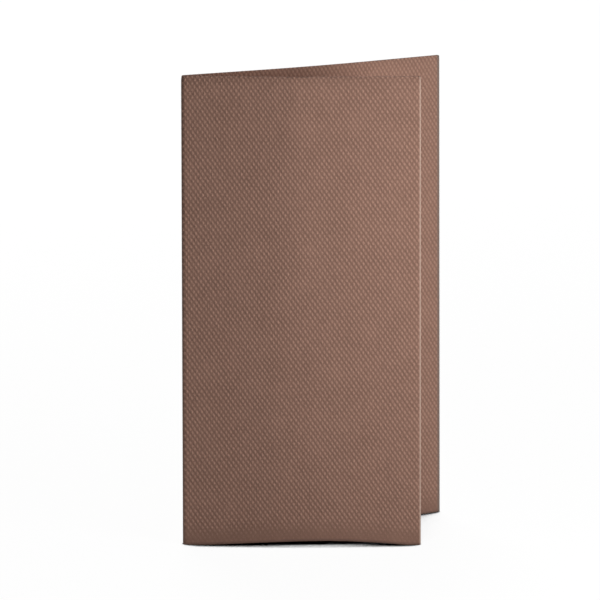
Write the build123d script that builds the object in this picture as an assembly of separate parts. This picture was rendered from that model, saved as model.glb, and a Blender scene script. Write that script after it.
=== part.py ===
from build123d import *
import os

# A paper dinner napkin in its book fold, opened a little at the last fold and stood on its cut edges.
#
# The sheet is folded three times: across the middle into the top edge, then in half sideways into the
# front leaf's fore-edge, then once more, off centre, into the spine on which the two leaves stand open.
# The first fold makes every pass of the sheet a double one, an outer leg and an inner leg joined over the
# top. That double pass runs from the back leaf's fore-edge round the outside of the spine to the front
# leaf's fore-edge, turns back on itself and returns inside both leaves to where it began.
#
# X runs from the spine to the fore-edges, the front leaf faces -Y and Z is up. Sizes are in millimetres.

# The sheet and its folds
SHEET_LENGTH = 381.0  # up one side and down the other
SHEET_WIDTH = 432.0  # along the folded path, four leaf widths
FOLD_OFFSET = 12.7  # the last fold lies this far off centre
HEIGHT = SHEET_LENGTH / 2
FRONT_WIDTH = SHEET_WIDTH / 4 - FOLD_OFFSET
BACK_WIDTH = SHEET_WIDTH / 4 + FOLD_OFFSET
FOLD_RISE = 3.0  # the top fold narrows to its ridge over this height

# The section of one leaf
PLY = 0.25  # one thickness of the embossed sheet
LEG_GAP = 0.15  # between the two legs of a pass
PASS_GAP = 0.25  # between the outer and the inner pass
LEG_OUT = LEG_GAP / 2 + PLY  # from the middle of a pass to its face
PASS_STEP = 2 * LEG_OUT + PASS_GAP

# How the leaves stand, as plan distances from the spine at the floor and at the top
SPINE_LEAN = 0.4  # the spine's top stands this far to the right of its foot
SPINE_INSET = 1.6  # the rounded spine stands this far inside the corner of the two leaves
FRONT_SKEW = (1.4, 0.2)  # the fore-edge fold is a little out of square, so the leaf is wider at the foot
FRONT_SETBACK = (-0.3, -2.3)  # how far back the front fore-edge stands
BACK_SETBACK = (60.0, 62.5)  # how far back the back fore-edge stands
CREST_SHARE = 0.48  # where the front leaf's bend lies across its width
CREST_OUT = (2.4, 3.0)  # how far the bend stands out from the flat leaf
CREST_RADIUS = (260.0, 30.0)  # the bend is broad at the foot and sharp at the top
BOW_SHARE = 0.5  # where the back leaf bows across its width
BOW_OUT = 4.0  # how far it bows towards the front leaf
BOW_RADIUS = 400.0
SPINE_RADIUS = 0.42  # middle of the inner pass at the spine
TURN_RADIUS = 0.49 * PASS_STEP  # middle of the pass round the front fore-edge

# The front leaf's foot stands clear of the floor between its corners
ARCH_RISE = 2.0
ARCH_START = 0.08 * FRONT_WIDTH
ARCH_PEAK = 0.6 * FRONT_WIDTH
ARCH_END = 0.97 * FRONT_WIDTH
ARCH_BACK = 3.0  # the arch ends this far behind the spine, clear of the back leaf
ARCH_DEPTH = 10.0

FOOT, TOP = 0, 1
OUTSIDE, INSIDE = 1, -1  # the right and the left side of the path


def reach(width, setback):
    """The plan point at a leaf's fore-edge, for its width and how far back that edge stands."""
    return Vector((width**2 - setback**2) ** 0.5, setback)


def bend_point(start, end, share, out):
    """A point between two others that stands off their line by out, to the right of it."""
    along = (end - start).normalized()
    return start + (end - start) * share + Vector(along.Y, -along.X) * out


def leaf_lines(level):
    """The middle lines of the two leaves at one level, from the spine to the fore-edges."""
    spine = Vector(SPINE_LEAN * level, 0)
    front_width = FRONT_WIDTH + FRONT_SKEW[level] + SPINE_INSET - PASS_STEP
    front_end = spine + reach(front_width, FRONT_SETBACK[level])
    back_end = spine + reach(BACK_WIDTH + SPINE_INSET, BACK_SETBACK[level])
    crest = bend_point(spine, front_end, CREST_SHARE, CREST_OUT[level])
    bow = bend_point(spine, back_end, BOW_SHARE, BOW_OUT)
    return [spine, crest, front_end], [spine, bow, back_end]


def shifted(points, distance):
    """A run of points moved to its right by a distance, with mitred corners."""
    runs = [(b - a).normalized() for a, b in zip(points, points[1:])]
    sides = [Vector(run.Y, -run.X) for run in runs]
    moved = [points[0] + sides[0] * distance]
    for point, before, after in zip(points[1:], sides, sides[1:]):
        moved.append(point + (before + after) * (distance / (1 + before.dot(after))))
    moved.append(points[-1] + sides[-1] * distance)
    return moved


def pass_path(level):
    """Corners and radii of the middle of the pass, from the back fore-edge out and home again."""
    front, back = leaf_lines(level)
    line = back[::-1] + front[1:]
    outer = shifted(line, OUTSIDE * PASS_STEP / 2)
    inner = shifted(line, INSIDE * PASS_STEP / 2)
    corners = outer + inner[::-1]
    crest = CREST_RADIUS[level]
    radii = [
        BOW_RADIUS - PASS_STEP / 2,
        SPINE_RADIUS + PASS_STEP,
        crest + PASS_STEP / 2,
        TURN_RADIUS,
        TURN_RADIUS,
        crest - PASS_STEP / 2,
        SPINE_RADIUS,
        BOW_RADIUS + PASS_STEP / 2,
    ]
    return corners, radii


def turns_left(before, corner, after):
    """True where a path turns to its left at a corner."""
    return (corner - before).cross(after - corner).Z > 0


def offset_edge(level, distance):
    """The pass's middle line at one level, moved to its right by a distance."""
    corners, radii = pass_path(level)
    bends = zip(corners, corners[1:], corners[2:], radii)
    moved_radii = [r + distance * (1 if turns_left(a, b, c) else -1) for a, b, c, r in bends]
    moved = [Vector(p.X, p.Y, level_height(level)) for p in shifted(corners, distance)]
    return FilletPolyline(*moved, radius=moved_radii)


def level_height(level):
    """The height of the foot, or of the line where the top fold begins."""
    return (HEIGHT - FOLD_RISE) * level


def leg_outline(level, side):
    """The plan face of one leg of the pass at one level."""
    near = offset_edge(level, side * LEG_GAP / 2)
    far = offset_edge(level, side * LEG_OUT)
    ends = [Line(near @ 0, far @ 0), Line(near @ 1, far @ 1)]
    return make_face([*near.edges(), *far.edges(), *ends])


def leg(side):
    """One leg of the pass, ruled from its plan at the floor to its plan under the top fold."""
    return loft([leg_outline(FOOT, side), leg_outline(TOP, side)], ruled=True)


def top_fold():
    """The first fold, a pressed half ring carried along the pass."""
    path = offset_edge(TOP, 0)
    plane = Plane(origin=path @ 0, x_dir=Vector(0, 0, 1).cross(path % 0), z_dir=path % 0)
    ring = Ellipse(LEG_OUT, FOLD_RISE) - Ellipse(LEG_GAP / 2, FOLD_RISE - PLY)
    half = ring & Pos(0, FOLD_RISE / 2) * Rectangle(2 * LEG_OUT, FOLD_RISE)
    return sweep(plane * half, path=path)


def foot_arch():
    """The space under the front leaf between its corners."""
    rise = Spline(
        (ARCH_START, 0), (ARCH_PEAK, ARCH_RISE), (ARCH_END, 0), tangents=[(1, 0.03), (1, -0.12)]
    )
    low = Polyline((ARCH_END, 0), (ARCH_END, -1), (ARCH_START, -1), (ARCH_START, 0))
    face = Plane.XZ * make_face([*rise.edges(), *low.edges()])
    return Pos(0, ARCH_BACK, 0) * extrude(face, amount=ARCH_DEPTH)


def napkin():
    """The folded sheet, with its origin at the middle of its footprint."""
    sheet = leg(OUTSIDE) + leg(INSIDE) + top_fold()
    sheet = sheet - foot_arch()
    box = sheet.bounding_box()
    return Pos(-box.center().X, -box.center().Y, -box.min.Z) * sheet


os.makedirs("parts", exist_ok=True)
folded = napkin()
print("solids", len(folded.solids()), "volume", round(folded.volume, 1), folded.bounding_box())
export_step(folded, "parts/napkin.step")
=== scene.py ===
"""The finish of a folded paper dinner napkin that stands open like a card.

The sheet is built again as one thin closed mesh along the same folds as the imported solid, so that its
emboss can follow the paper round every fold. Sizes below are in millimetres unless they say otherwise.
"""

import math

import bpy
import numpy as np
from mathutils import Matrix, Vector


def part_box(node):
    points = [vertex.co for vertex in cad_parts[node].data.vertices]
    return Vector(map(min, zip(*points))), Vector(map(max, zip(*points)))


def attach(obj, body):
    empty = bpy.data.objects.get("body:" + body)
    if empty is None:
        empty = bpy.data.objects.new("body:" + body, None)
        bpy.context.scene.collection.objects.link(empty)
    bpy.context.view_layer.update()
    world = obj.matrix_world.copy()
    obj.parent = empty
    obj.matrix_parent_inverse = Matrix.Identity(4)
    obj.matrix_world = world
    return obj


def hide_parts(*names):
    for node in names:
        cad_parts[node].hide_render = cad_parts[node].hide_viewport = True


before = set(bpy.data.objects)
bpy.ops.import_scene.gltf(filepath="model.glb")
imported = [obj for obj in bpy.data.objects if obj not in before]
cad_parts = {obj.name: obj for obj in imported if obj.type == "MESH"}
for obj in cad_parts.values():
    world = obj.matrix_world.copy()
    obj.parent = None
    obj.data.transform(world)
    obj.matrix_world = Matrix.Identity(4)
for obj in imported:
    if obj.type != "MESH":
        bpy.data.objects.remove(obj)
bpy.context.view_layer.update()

MM = 0.001

# The sheet and its folds
SHEET_LENGTH = 381.0
SHEET_WIDTH = 432.0
FOLD_OFFSET = 12.7
HEIGHT = SHEET_LENGTH / 2
FRONT_WIDTH = SHEET_WIDTH / 4 - FOLD_OFFSET
BACK_WIDTH = SHEET_WIDTH / 4 + FOLD_OFFSET
FOLD_RISE = 3.0
PLY = 0.25
LEG_GAP = 0.15
PASS_GAP = 0.25
LEG_OUT = LEG_GAP / 2 + PLY
PASS_STEP = 2 * LEG_OUT + PASS_GAP

# How the leaves stand, each pair at the foot and at the top
SPINE_LEAN = 0.4
SPINE_INSET = 1.6
FRONT_SKEW = (1.4, 0.2)
FRONT_SETBACK = (-0.3, -2.3)
BACK_SETBACK = (60.0, 62.5)
CREST_SHARE = 0.48
CREST_OUT = (2.4, 3.0)
CREST_RADIUS = (260.0, 30.0)
BOW_SHARE = 0.5
BOW_OUT = 4.0
BOW_RADIUS = 400.0
SPINE_RADIUS = 0.42
TURN_RADIUS = 0.49 * PASS_STEP

# The front leaf's foot stands clear of the floor between its corners
ARCH_RISE = 2.0
ARCH_START = 0.08 * FRONT_WIDTH
ARCH_END = 0.97 * FRONT_WIDTH
ARCH_SKEW = 1.285  # above 1 moves the arch's peak towards the fore-edge
ARCH_BACK = 3.0

# How finely the mesh follows the sheet
RUN_STEP = 1.3
ARC_SAMPLES = {"bow": 18, "outer spine": 12, "crest": 18, "turn": 6, "inner spine": 8}
FACE_ROWS = 150
HIDDEN_ROWS = 14
FOLD_ROWS = 12

# The emboss: a centred lattice of small raised dots that wanders a little and is pressed unevenly
DOT_PITCH = 1.93
ROW_PAIR_PITCH = 2.80
WANDER_SCALE, WANDER_TURN = 0.03, 1.0  # turns are in radians of the lattice
RIPPLE_SCALE, RIPPLE_TURN = 0.35, 0.8
CROSS_RIDGE = 0.38  # how deeply the second set of ridges cuts the first into dots
PRESS_SCALE, PRESS_GAIN, PRESS_BASE = 0.5, 3.4, -0.7
FOOT_BAND = (2.0, 10.5)  # the emboss grows to its full depth between these distances from the cut foot
FOOT_BAND_DEPTH = 0.15

# The paper's relief: BUMP_DEPTH is the emboss at full height, and the shares are against it
BUMP_DEPTH = 0.19
FIBRE_SHARE, CRUMPLE_SHARE, TOP_ROLL_SHARE = 0.45, 0.9, 2.2
TOP_ROLL = 4.0  # the top fold rounds over within this distance

# The paper's colours, linear
BROWN = (0.410, 0.231, 0.171, 1)
BROWN_DEEP = (0.150, 0.077, 0.052, 1)
# The pale brown is a painted highlight along the fore-edge fold.
BROWN_HIGHLIGHT = (0.50, 0.36, 0.29, 1)
BROWN_EDGE = (0.20, 0.15, 0.125, 1)
# The last of these shares paints shade into the emboss pits, leaving the raised dots lighter.
MOTTLE_SHARE, SPECK_SHARE, PIT_SHADE_SHARE = 0.35, 0.45, 0.80
FOLD_HIGHLIGHT_REACH = (0.3, 0.8)  # painted highlight: the fore-edge fold is drawn pale within this distance
CUT_REACH = (0.6, 1.8)  # the cut edges are greyer within this distance
CUT_SHARE = 0.75

# The camera, aimed at a point measured from the corner of the two leaves at the foot
CAMERA_ELEVATION = 10.39
CAMERA_DISTANCE = 1.992  # metres
CAMERA_LENS = 296.8
CAMERA_AIM = (49.02, 15.0, 97.35)

# The studio. A lamp has a name, a direction (azimuth from the front towards +X, elevation, in degrees), a
# distance and a size in metres, and a level, where 1 shows a colour as it is written
LIT_POINT = Vector((0.0, 0.0, 0.1))
LAMPS = (
    ("key", (44.0, 16.0), 0.34, 0.20, 0.80),
    ("fill", (-40.0, 35.0), 1.8, 0.8, 0.03),
    ("back", (190.0, 35.0), 2.2, 1.0, 0.9),
)
WORLD_LEVEL = 0.04
FLOOR_GREY = 0.6
FLOOR_SIZE = 12.0  # metres
SHADOW_SHARE = 0.04  # how much of the floor in the picture is lit surface
OPEN_ROUND = (0.25, 0.3, 0.48)  # painted shadow: the floor's white darkens under and beside the napkin
OPEN_UNDER = (0.010, 0.6, 0.72)  # and at its very foot

FOOT, TOP = 0, 1


def right_of(direction):
    """The unit vector to the right of a plan direction."""
    return np.array([direction[1], -direction[0]])


def unit(vector):
    return vector / np.linalg.norm(vector)


def bend_point(start, end, share, out):
    """A point between two others that stands off their line by out, to the right of it."""
    return start + (end - start) * share + right_of(unit(end - start)) * out


def leaf_lines(level):
    """The middle lines of the two leaves at one level, from the spine to the fore-edges."""
    spine = np.array([SPINE_LEAN * level, 0.0])
    front_reach = FRONT_WIDTH + FRONT_SKEW[level] + SPINE_INSET - PASS_STEP
    back_reach = BACK_WIDTH + SPINE_INSET
    front_set, back_set = FRONT_SETBACK[level], BACK_SETBACK[level]
    front_end = spine + [math.sqrt(front_reach**2 - front_set**2), front_set]
    back_end = spine + [math.sqrt(back_reach**2 - back_set**2), back_set]
    crest = bend_point(spine, front_end, CREST_SHARE, CREST_OUT[level])
    bow = bend_point(spine, back_end, BOW_SHARE, BOW_OUT)
    return [spine, crest, front_end], [spine, bow, back_end]


def shifted(points, distance):
    """A run of points moved to its right by a distance, with mitred corners."""
    sides = [right_of(unit(b - a)) for a, b in zip(points, points[1:])]
    moved = [points[0] + sides[0] * distance]
    for point, before, after in zip(points[1:], sides, sides[1:]):
        moved.append(point + (before + after) * distance / (1 + before @ after))
    moved.append(points[-1] + sides[-1] * distance)
    return moved


def pass_corners(level):
    """Corners, radii and kinds of bend of the middle of the double pass at one level."""
    front, back = leaf_lines(level)
    line = back[::-1] + front[1:]
    corners = shifted(line, PASS_STEP / 2) + shifted(line, -PASS_STEP / 2)[::-1]
    crest = CREST_RADIUS[level]
    bends = [
        ("bow", BOW_RADIUS - PASS_STEP / 2),
        ("outer spine", SPINE_RADIUS + PASS_STEP),
        ("crest", crest + PASS_STEP / 2),
        ("turn", TURN_RADIUS),
        ("turn", TURN_RADIUS),
        ("crest", crest - PASS_STEP / 2),
        ("inner spine", SPINE_RADIUS),
        ("bow", BOW_RADIUS + PASS_STEP / 2),
    ]
    return corners, bends


def rounded_path(level, run_counts):
    """Points and right-hand directions along the rounded pass at one level."""
    corners, bends = pass_corners(level)
    points, sides = [], []
    start = corners[0]
    for corner, after, before, (kind, radius), runs in zip(
        corners[1:], corners[2:], corners, bends, run_counts
    ):
        into, out = unit(corner - before), unit(after - corner)
        turn = math.atan2(into[0] * out[1] - into[1] * out[0], into @ out)
        tangent = radius * math.tan(abs(turn) / 2)
        arc_start = corner - into * tangent
        for t in np.linspace(0, 1, runs, endpoint=False):
            points.append(start + (arc_start - start) * t)
            sides.append(right_of(into))
        towards = right_of(into) * -math.copysign(1, turn)
        centre = arc_start + towards * radius
        for t in np.linspace(0, 1, ARC_SAMPLES[kind], endpoint=False):
            cos, sin = math.cos(turn * t), math.sin(turn * t)
            spin = np.array([[cos, -sin], [sin, cos]])
            points.append(centre - spin @ towards * radius)
            sides.append(spin @ right_of(into))
        start = corner + out * tangent
    for t in np.linspace(0, 1, run_counts[-1]):
        points.append(start + (corners[-1] - start) * t)
        sides.append(right_of(unit(corners[-1] - corners[-2])))
    return np.array(points), np.array(sides)


def run_counts():
    """How many samples each straight run takes, alike at both levels."""
    corners, _ = pass_corners(TOP)
    lengths = [np.linalg.norm(b - a) for a, b in zip(corners, corners[1:])]
    return [max(1, round(length / RUN_STEP)) for length in lengths]


def foot_height(points):
    """How high the sheet's cut foot stands over the floor at plan points."""
    t = np.clip((points[:, 0] - ARCH_START) / (ARCH_END - ARCH_START), 0, 1)
    rise = ARCH_RISE * np.sin(math.pi * t**ARCH_SKEW)
    return np.where(points[:, 1] < ARCH_BACK, rise, 0.0)


def flat_across(points):
    """How far across the flat sheet each sample of the path lies, with the fore-edge fold in the middle."""
    run = np.concatenate([[0], np.cumsum(np.linalg.norm(np.diff(points, axis=0), axis=1))])
    fold = run[np.argmax(np.where(points[:, 1] < ARCH_BACK, points[:, 0], 0))]
    return np.interp(run, [0, fold, run[-1]], [0, SHEET_WIDTH / 2, SHEET_WIDTH])


def half_section(out, crown, face_rows, hidden_rows):
    """One surface of the double pass in section: (side, share of the wall, height over the wall)."""
    rows = [(out, t, 0.0) for t in np.linspace(0, 1, face_rows, endpoint=False)]
    for angle in np.linspace(0, math.pi, FOLD_ROWS + 1):
        rows.append((out * math.cos(angle), 1.0, crown * math.sin(angle)))
    rows += [(-out, t, 0.0) for t in np.linspace(1, 0, hidden_rows + 1)[1:]]
    return rows


def sheet_section():
    """The closed section of the double pass, and how far along the sheet each of its points is."""
    outer = half_section(LEG_OUT, FOLD_RISE, FACE_ROWS, HIDDEN_ROWS)
    inner = half_section(LEG_GAP / 2, FOLD_RISE - PLY, HIDDEN_ROWS, HIDDEN_ROWS)
    wall = HEIGHT - FOLD_RISE
    along = []
    for rows in (outer, inner):
        sides = np.array([r[0] for r in rows])
        heights = np.array([r[1] * wall + r[2] for r in rows])
        steps = np.hypot(np.diff(sides), np.diff(heights))
        travelled = np.concatenate([[0], np.cumsum(steps)])
        along.append(travelled * SHEET_LENGTH / travelled[-1])
    return outer + inner[::-1], np.concatenate([along[0], along[1][::-1]])


def sheet_mesh():
    """The whole folded sheet as one closed mesh, with its flat coordinates as a UV map."""
    counts = run_counts()
    low, low_side = rounded_path(FOOT, counts)
    high, high_side = rounded_path(TOP, counts)
    low_across, high_across = flat_across(low), flat_across(high)
    foot = foot_height(low)
    section, along = sheet_section()
    wall = HEIGHT - FOLD_RISE
    columns, rows = len(low), len(section)

    places = np.zeros((columns, rows, 3))
    across = np.zeros((columns, rows))
    for k, (side, share, over) in enumerate(section):
        height = foot + (wall - foot) * share
        t = (height / wall)[:, None]
        line = low + (high - low) * t
        facing = low_side + (high_side - low_side) * t
        places[:, k, :2] = line + facing * side
        places[:, k, 2] = height + over
        across[:, k] = low_across + (high_across - low_across) * height / wall

    faces, flat = [], []
    for i in range(columns - 1):
        for k in range(rows):
            after = (k + 1) % rows
            here, beside = i * rows, (i + 1) * rows
            faces.append((here + k, beside + k, beside + after, here + after))
            flat.append(k == FACE_ROWS + FOLD_ROWS + HIDDEN_ROWS or after == 0)
    faces.append(tuple(range(rows)))
    faces.append(tuple(reversed(range((columns - 1) * rows, columns * rows))))
    flat += [True, True]

    mesh = bpy.data.meshes.new("napkin_sheet")
    mesh.from_pydata((places.reshape(-1, 3) * MM).tolist(), [], faces)
    mesh.polygons.foreach_set("use_smooth", [not f for f in flat])
    sheet_uv = np.stack([across.ravel() / SHEET_WIDTH, np.tile(along / SHEET_LENGTH, columns)], axis=1)
    corners = np.zeros(len(mesh.loops), int)
    mesh.loops.foreach_get("vertex_index", corners)
    layer = mesh.uv_layers.new(name="sheet")
    layer.uv.foreach_set("vector", sheet_uv[corners].astype(np.float32).ravel())
    mesh.update()
    return mesh


def nodes_of(name):
    """A new material with nodes: its tree and its shader."""
    material = bpy.data.materials.new(name)
    material.use_nodes = True
    tree = material.node_tree
    return material, tree, tree.nodes["Principled BSDF"]


class Graph:
    """A few short ways to add nodes to one tree."""

    def __init__(self, tree):
        self.tree = tree

    def link(self, value, socket):
        if isinstance(value, bpy.types.NodeSocket):
            self.tree.links.new(value, socket)
        else:
            socket.default_value = value

    def math(self, operation, a, b=0.0, c=0.0, clamp=False):
        node = self.tree.nodes.new("ShaderNodeMath")
        node.operation = operation
        node.use_clamp = clamp
        for value, socket in zip((a, b, c), node.inputs):
            self.link(value, socket)
        return node.outputs[0]

    def noise(self, vector, scale, detail=2.0, roughness=0.5):
        node = self.tree.nodes.new("ShaderNodeTexNoise")
        self.link(vector, node.inputs["Vector"])
        node.inputs["Scale"].default_value = scale
        node.inputs["Detail"].default_value = detail
        node.inputs["Roughness"].default_value = roughness
        return node.outputs["Fac"]

    def scaled(self, vector, factors):
        node = self.tree.nodes.new("ShaderNodeVectorMath")
        node.operation = "MULTIPLY"
        self.link(vector, node.inputs[0])
        node.inputs[1].default_value = factors
        return node.outputs[0]

    def smooth(self, value, start, end):
        """0 below start, 1 above end, and smooth between."""
        node = self.tree.nodes.new("ShaderNodeMapRange")
        node.interpolation_type = "SMOOTHSTEP"
        self.link(value, node.inputs["Value"])
        node.inputs["From Min"].default_value = start
        node.inputs["From Max"].default_value = end
        return node.outputs["Result"]

    def mix(self, share, a, b):
        node = self.tree.nodes.new("ShaderNodeMix")
        node.data_type = "RGBA"
        self.link(share, node.inputs[0])
        self.link(a, node.inputs[6])
        self.link(b, node.inputs[7])
        return node.outputs[2]


def nearest_edge(g, value, size):
    """How far a flat coordinate is from the nearer of its two cut edges."""
    return g.math("MINIMUM", value, g.math("SUBTRACT", size, value))


def from_line(g, value, place):
    """How far a flat coordinate is from a fold."""
    return g.math("ABSOLUTE", g.math("SUBTRACT", value, place))


def swing(g, flat, scale, detail, most):
    """Noise between -most and most."""
    return g.math("MULTIPLY_ADD", g.noise(flat, scale, detail), 2 * most, -most)


def emboss_of(g, flat, across, along):
    """The emboss: two crossing sets of ridges that leave dots, and die out along the cut foot."""
    wander = swing(g, flat, WANDER_SCALE, 1.0, WANDER_TURN)
    shift = g.math("ADD", wander, swing(g, flat, RIPPLE_SCALE, 2.0, RIPPLE_TURN))
    turn_across = g.math("MULTIPLY", across, math.tau / DOT_PITCH)
    turn_along = g.math("MULTIPLY", along, math.tau / ROW_PAIR_PITCH)
    falling = g.math("COSINE", g.math("ADD", g.math("ADD", turn_across, turn_along), shift))
    rising = g.math("COSINE", g.math("ADD", g.math("SUBTRACT", turn_across, turn_along), shift))
    ridges = g.math("MULTIPLY_ADD", falling, 0.5, 0.5)
    lattice = g.math("MULTIPLY", ridges, g.math("MULTIPLY_ADD", rising, CROSS_RIDGE, 1 - CROSS_RIDGE))
    band = g.smooth(nearest_edge(g, along, SHEET_LENGTH), *FOOT_BAND)
    pressed = g.math("MULTIPLY_ADD", g.noise(flat, PRESS_SCALE, 4.0, 0.75), PRESS_GAIN, PRESS_BASE)
    depth = g.math("MULTIPLY", g.math("MULTIPLY_ADD", band, 1 - FOOT_BAND_DEPTH, FOOT_BAND_DEPTH), pressed)
    return g.math("MULTIPLY", lattice, depth)


def paper_normal(g, flat, along, emboss):
    """The relief of emboss, fibres, crumple and the rounded top fold, as a normal."""
    fibre = g.noise(g.scaled(flat, (1.0, 0.55, 1.0)), 2.6, 4.0, 0.65)
    crumple = g.noise(flat, 0.11, 3.0, 0.55)
    roll = g.smooth(from_line(g, along, SHEET_LENGTH / 2), 0.0, TOP_ROLL)
    height = g.math("MULTIPLY_ADD", fibre, FIBRE_SHARE, emboss)
    height = g.math("MULTIPLY_ADD", crumple, CRUMPLE_SHARE, height)
    height = g.math("MULTIPLY_ADD", roll, TOP_ROLL_SHARE, height)
    bump = g.tree.nodes.new("ShaderNodeBump")
    bump.inputs["Strength"].default_value = 1.0
    bump.inputs["Distance"].default_value = BUMP_DEPTH * MM
    g.link(height, bump.inputs["Height"])
    return bump.outputs["Normal"]


def paper_colour(g, flat, across, emboss, speck):
    """Mottled, with painted shade in the emboss pits, darker towards the cut foot where the emboss dies
    out, a painted highlight along the fore-edge fold, and greyer at the side cut edges.
    """
    mottle = g.noise(flat, 0.09, 4.0, 0.6)
    tone = g.math("MULTIPLY_ADD", mottle, MOTTLE_SHARE, g.math("MULTIPLY", speck, SPECK_SHARE))
    # Painted shade: the emboss lightens the raised dots and leaves the pits darker, and where it dies out
    # along the cut foot the paper is drawn darker too.
    tone = g.math("ADD", tone, g.math("MULTIPLY", emboss, PIT_SHADE_SHARE), clamp=True)
    colour = g.mix(tone, BROWN_DEEP, BROWN)
    # Painted highlight: the fore-edge fold, where the turned sheet catches the light, is drawn pale.
    fold_highlight = g.math("SUBTRACT", 1.0, g.smooth(from_line(g, across, SHEET_WIDTH / 2), *FOLD_HIGHLIGHT_REACH))
    fold_highlight = g.math("MULTIPLY", fold_highlight, g.math("MULTIPLY_ADD", speck, 0.5, 0.55), clamp=True)
    colour = g.mix(fold_highlight, colour, BROWN_HIGHLIGHT)
    inside = g.smooth(nearest_edge(g, across, SHEET_WIDTH), *CUT_REACH)
    return g.mix(g.math("SUBTRACT", CUT_SHARE, inside, clamp=True), colour, BROWN_EDGE)


def tissue():
    """Brown embossed tissue, drawn on the flat sheet."""
    material, tree, shader = nodes_of("tissue_brown")
    g = Graph(tree)
    uv = tree.nodes.new("ShaderNodeUVMap")
    uv.uv_map = "sheet"
    flat = g.scaled(uv.outputs["UV"], (SHEET_WIDTH, SHEET_LENGTH, 0))
    split = tree.nodes.new("ShaderNodeSeparateXYZ")
    g.link(flat, split.inputs[0])
    across, along = split.outputs[0], split.outputs[1]
    emboss = emboss_of(g, flat, across, along)
    speck = g.noise(flat, 1.9, 3.0, 0.7)
    g.link(paper_normal(g, flat, along, emboss), shader.inputs["Normal"])
    g.link(paper_colour(g, flat, across, emboss, speck), shader.inputs["Base Color"])
    g.link(g.math("MULTIPLY_ADD", speck, 0.1, 0.84), shader.inputs["Roughness"])
    shader.inputs["Specular IOR Level"].default_value = 0.25
    shader.inputs["Sheen Weight"].default_value = 0.15
    shader.inputs["Sheen Roughness"].default_value = 0.6
    return material


def background_share(g):
    """1 for the rays that see the background of the picture, and 0 for those that carry its light."""
    path = g.tree.nodes.new("ShaderNodeLightPath")
    seen = g.math("MAXIMUM", path.outputs["Is Camera Ray"], path.outputs["Is Glossy Ray"])
    return g.math("MAXIMUM", seen, path.outputs["Is Transmission Ray"])


def open_sky(g, distance, start, end):
    """How much open space a floor point sees within a distance: 0 up to start, 1 from end."""
    node = g.tree.nodes.new("ShaderNodeAmbientOcclusion")
    node.samples = 16
    node.inputs["Distance"].default_value = distance
    return g.smooth(node.outputs["AO"], start, end)


def floor_material():
    """A floor that is pale grey to the light and white in the picture, with the object's shadow painted
    into that white from ambient occlusion.
    """
    material, tree, shader = nodes_of("floor_white")
    g = Graph(tree)
    shader.inputs["Base Color"].default_value = (FLOOR_GREY, FLOOR_GREY, FLOOR_GREY, 1)
    shader.inputs["Roughness"].default_value = 0.9
    white = tree.nodes.new("ShaderNodeEmission")
    # Painted shadow: ambient occlusion darkens the floor's white, and the colour of its small lit share,
    # under and beside the napkin.
    clear = g.math("MULTIPLY", open_sky(g, *OPEN_ROUND), open_sky(g, *OPEN_UNDER))
    g.link(clear, white.inputs["Strength"])
    lit = tree.nodes.new("ShaderNodeBsdfDiffuse")
    g.link(clear, lit.inputs["Color"])
    picture = tree.nodes.new("ShaderNodeMixShader")
    picture.inputs[0].default_value = SHADOW_SHARE
    g.link(white.outputs[0], picture.inputs[1])
    g.link(lit.outputs[0], picture.inputs[2])
    both = tree.nodes.new("ShaderNodeMixShader")
    g.link(background_share(g), both.inputs[0])
    g.link(shader.outputs[0], both.inputs[1])
    g.link(picture.outputs[0], both.inputs[2])
    g.link(both.outputs[0], tree.nodes["Material Output"].inputs["Surface"])
    return material


def add_floor():
    half = FLOOR_SIZE / 2
    corners = [(-half, -half, 0), (half, -half, 0), (half, half, 0), (-half, half, 0)]
    mesh = bpy.data.meshes.new("floor")
    mesh.from_pydata(corners, [], [(0, 1, 2, 3)])
    mesh.materials.append(floor_material())
    floor = bpy.data.objects.new("floor", mesh)
    bpy.context.scene.collection.objects.link(floor)


def direction_to(azimuth, elevation):
    """The unit vector towards a lamp."""
    turn, lift = math.radians(azimuth), math.radians(elevation)
    return Vector((math.sin(turn) * math.cos(lift), -math.cos(turn) * math.cos(lift), math.sin(lift)))


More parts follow.
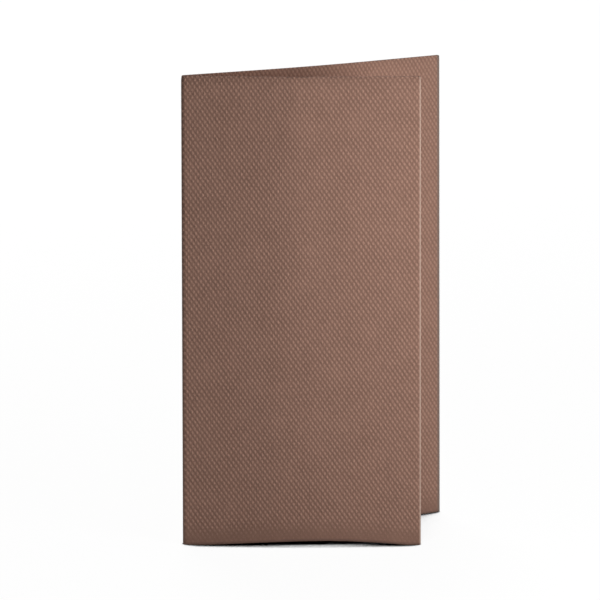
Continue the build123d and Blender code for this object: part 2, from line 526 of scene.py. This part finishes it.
def add_lamp(name, direction, distance, size, level):
    """A square lamp that lights a face turned to it at a level."""
    towards = direction_to(*direction)
    data = bpy.data.lights.new(name, "AREA")
    data.size = size
    data.energy = level * math.pi**2 * distance**2
    lamp = bpy.data.objects.new(name, data)
    lamp.location = LIT_POINT + towards * distance
    lamp.rotation_mode = "QUATERNION"
    lamp.rotation_quaternion = towards.to_track_quat("Z", "Y")
    lamp.visible_camera = False
    bpy.context.scene.collection.objects.link(lamp)


def add_world():
    """Even light from all round, and plain white behind the object."""
    world = bpy.data.worlds.new("studio")
    bpy.context.scene.world = world
    world.use_nodes = True
    g = Graph(world.node_tree)
    background = world.node_tree.nodes["Background"]
    background.inputs["Color"].default_value = (1, 1, 1, 1)
    strength = g.math("MULTIPLY_ADD", background_share(g), 1 - WORLD_LEVEL, WORLD_LEVEL)
    g.link(strength, background.inputs["Strength"])


def add_camera(corner):
    """The camera, a long lens a little above the napkin. corner is the foot of the two leaves' corner."""
    data = bpy.data.cameras.new("camera")
    data.lens = CAMERA_LENS
    data.clip_end = 50
    camera = bpy.data.objects.new("camera", data)
    bpy.context.scene.collection.objects.link(camera)
    tilt = math.radians(CAMERA_ELEVATION)
    ahead = Vector((0, math.cos(tilt), -math.sin(tilt)))
    aim = corner + Vector(CAMERA_AIM) * MM
    camera.location = aim - ahead * CAMERA_DISTANCE
    camera.rotation_euler = (math.pi / 2 - tilt, 0, 0)
    bpy.context.scene.camera = camera


def add_napkin():
    """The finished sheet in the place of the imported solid. Returns where its spine corner stands."""
    mesh = sheet_mesh()
    mesh.materials.append(tissue())
    sheet = bpy.data.objects.new("napkin_sheet", mesh)
    bpy.context.scene.collection.objects.link(sheet)
    low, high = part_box("napkin")
    points = np.array([v.co for v in mesh.vertices])
    middle = (points.min(0) + points.max(0)) / 2
    corner = Vector(((low.x + high.x) / 2 - middle[0], (low.y + high.y) / 2 - middle[1], low.z))
    mesh.transform(Matrix.Translation(corner))
    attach(sheet, "root")
    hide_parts("napkin")
    return corner


spine_corner = add_napkin()
add_floor()
add_world()
for lamp in LAMPS:
    add_lamp(*lamp)
add_camera(spine_corner)
bpy.context.scene.view_settings.view_transform = "Standard"
